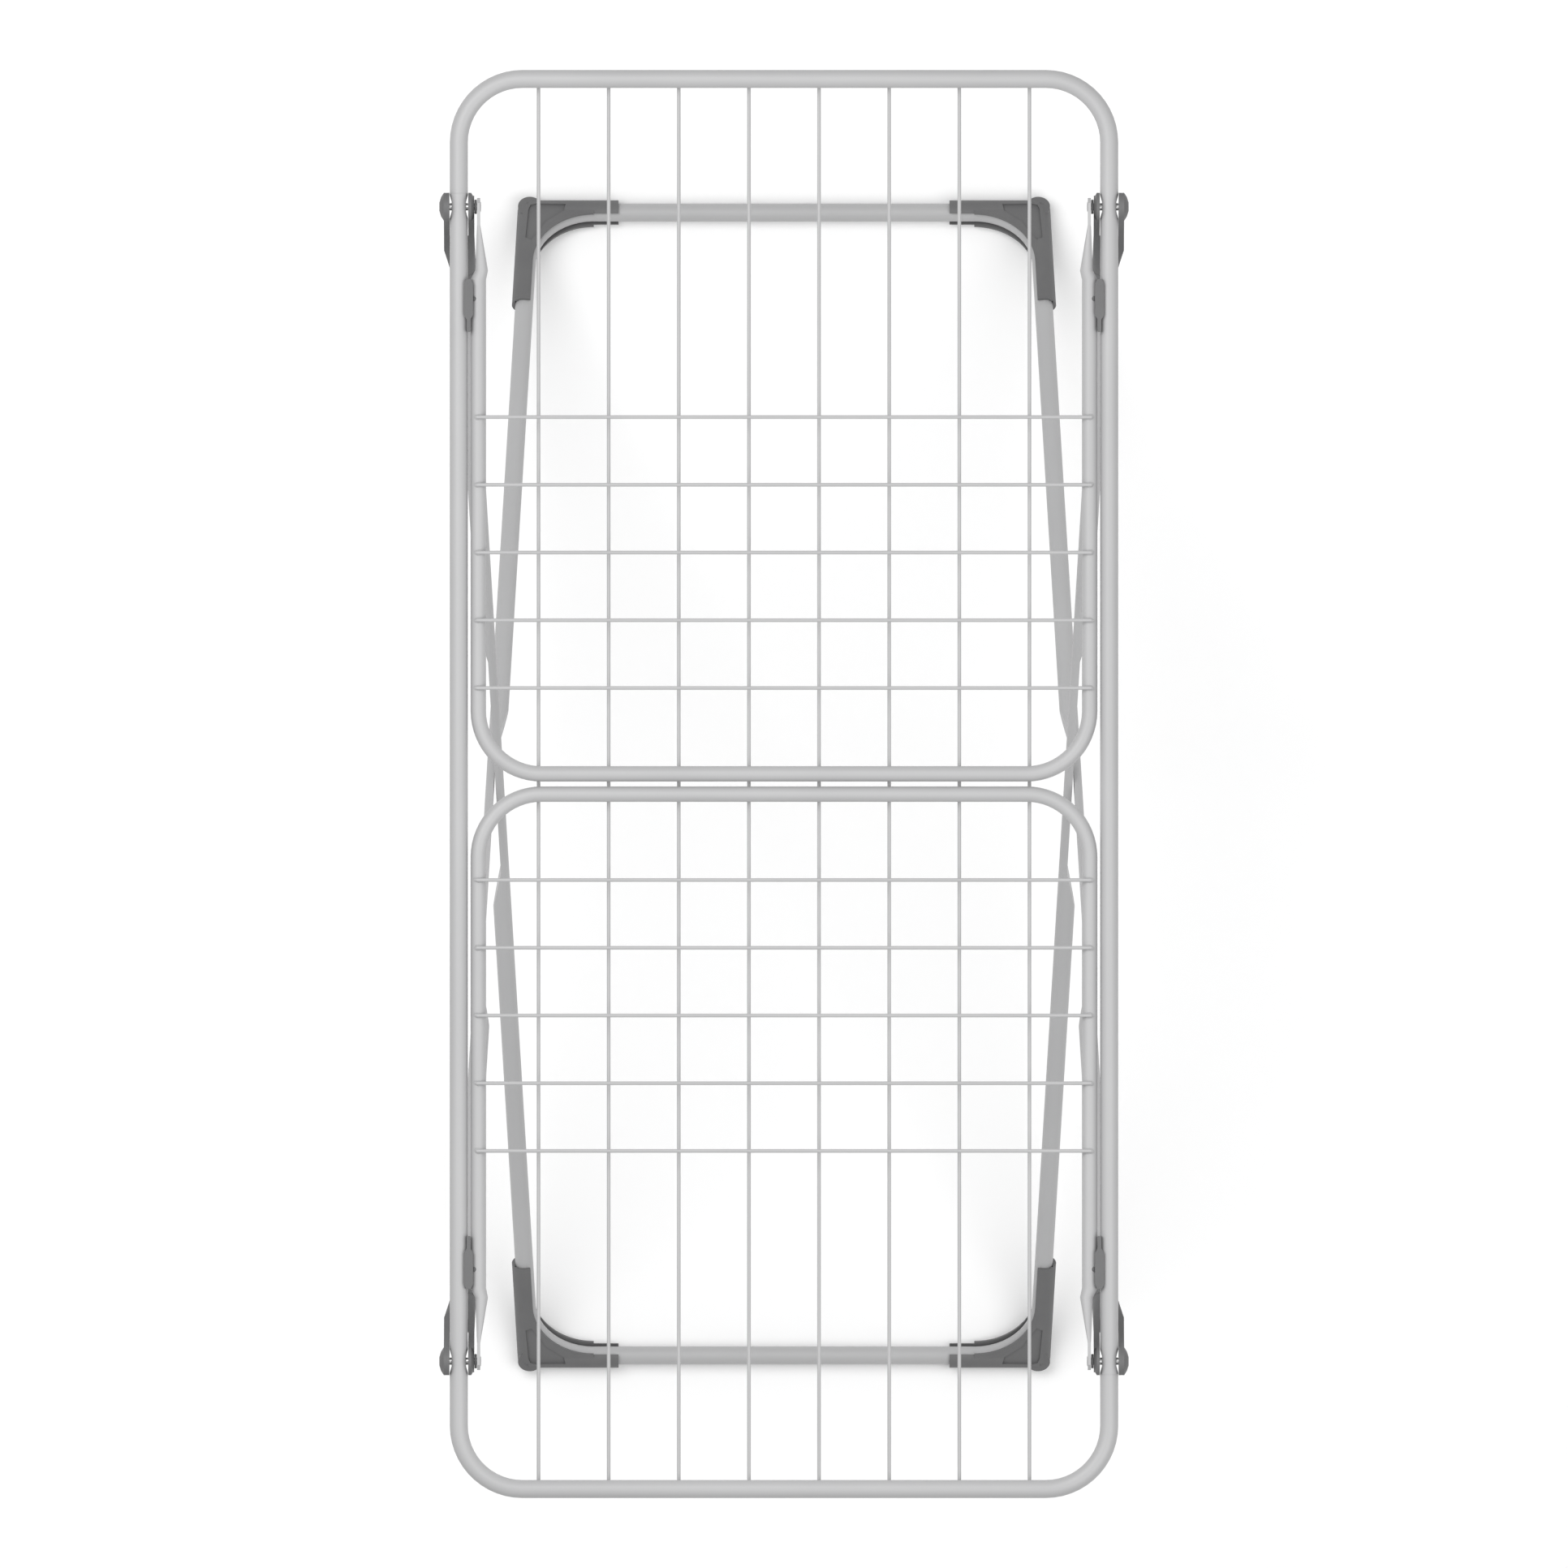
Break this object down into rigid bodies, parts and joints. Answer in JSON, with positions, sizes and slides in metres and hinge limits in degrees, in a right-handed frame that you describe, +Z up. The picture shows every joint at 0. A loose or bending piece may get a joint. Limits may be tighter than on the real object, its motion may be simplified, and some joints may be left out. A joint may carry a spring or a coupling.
{
  "type": "folding laundry drying rack",
  "caption": "Folding floor-standing laundry drying rack of white tube and wire, with two hinged wings and crossed folding legs on grey plastic corners.",
  "frame": {"origin": "on the floor, under the middle of the rack, with the legs open and the wings folded in", "axes": "+Z up, +Y along the long wires and the rack's length, +X along the hinge pins across its width"},
  "size_m": [0.57, 1.181, 0.766],
  "materials": {
    "frame_paint": "light grey-white powder coat, satin",
    "wire_paint": "light grey-white powder coat, satin",
    "pin_steel": "zinc plated",
    "grey_plastic": "fine moulded texture"
  },
  "bodies": {
    "rack": {"frame_tube_right": "frame_paint", "frame_tube_left": "frame_paint", "frame_sleeve_right": "frame_paint", "frame_sleeve_left": "frame_paint", "rack_wire_1": "wire_paint", "rack_wire_2": "wire_paint", "rack_wire_3": "wire_paint", "rack_wire_4": "wire_paint", "rack_wire_5": "wire_paint", "rack_wire_6": "wire_paint", "rack_wire_7": "wire_paint", "rack_wire_8": "wire_paint", "hinge_pin_1": "pin_steel", "hinge_pin_2": "pin_steel", "hinge_pin_3": "pin_steel", "hinge_pin_4": "pin_steel", "hinge_spacer_1": "grey_plastic", "hinge_spacer_2": "grey_plastic", "hinge_spacer_3": "grey_plastic", "hinge_spacer_4": "grey_plastic"},
    "back_wing": {"back_wing_tube": "frame_paint", "back_wing_wire_1": "wire_paint", "back_wing_wire_2": "wire_paint", "back_wing_wire_3": "wire_paint", "back_wing_wire_4": "wire_paint", "back_wing_wire_5": "wire_paint", "back_wing_pad_left": "grey_plastic", "back_wing_pad_right": "grey_plastic"},
    "front_wing": {"front_wing_tube": "frame_paint", "front_wing_wire_1": "wire_paint", "front_wing_wire_2": "wire_paint", "front_wing_wire_3": "wire_paint", "front_wing_wire_4": "wire_paint", "front_wing_wire_5": "wire_paint", "front_wing_pad_left": "grey_plastic", "front_wing_pad_right": "grey_plastic"},
    "outer_leg": {"outer_leg_tube": "frame_paint", "outer_leg_fork_left": "grey_plastic", "outer_leg_fork_right": "grey_plastic", "outer_leg_foot_left": "grey_plastic", "outer_leg_foot_right": "grey_plastic"},
    "inner_leg": {"inner_leg_tube": "frame_paint", "inner_leg_fork_left": "grey_plastic", "inner_leg_fork_right": "grey_plastic", "inner_leg_foot_left": "grey_plastic", "inner_leg_foot_right": "grey_plastic"}
  },
  "joints": [
    {"name": "back_wing_hinge", "type": "hinge", "parent": "rack", "child": "back_wing", "pos_m": [0, 0.4773, 0.75443], "axis": [-1, 0, 0], "range_deg": [0, 144.4]},
    {"name": "front_wing_hinge", "type": "hinge", "parent": "rack", "child": "front_wing", "pos_m": [0, -0.4773, 0.75443], "axis": [1, 0, 0], "range_deg": [0, 144.4]},
    {"name": "inner_leg_fold", "type": "hinge", "parent": "rack", "child": "inner_leg", "pos_m": [0, 0.4773, 0.75443], "axis": [-1, 0, 0], "range_deg": [0, 36.4]},
    {"name": "outer_leg_fold", "type": "hinge", "parent": "rack", "child": "outer_leg", "pos_m": [0, -0.4773, 0.75443], "axis": [1, 0, 0], "range_deg": [0, 33.01]}
  ],
  "couplings": [
    {"joint": "outer_leg_fold", "follows": "inner_leg_fold", "ratio": 0.90659}
  ]
}
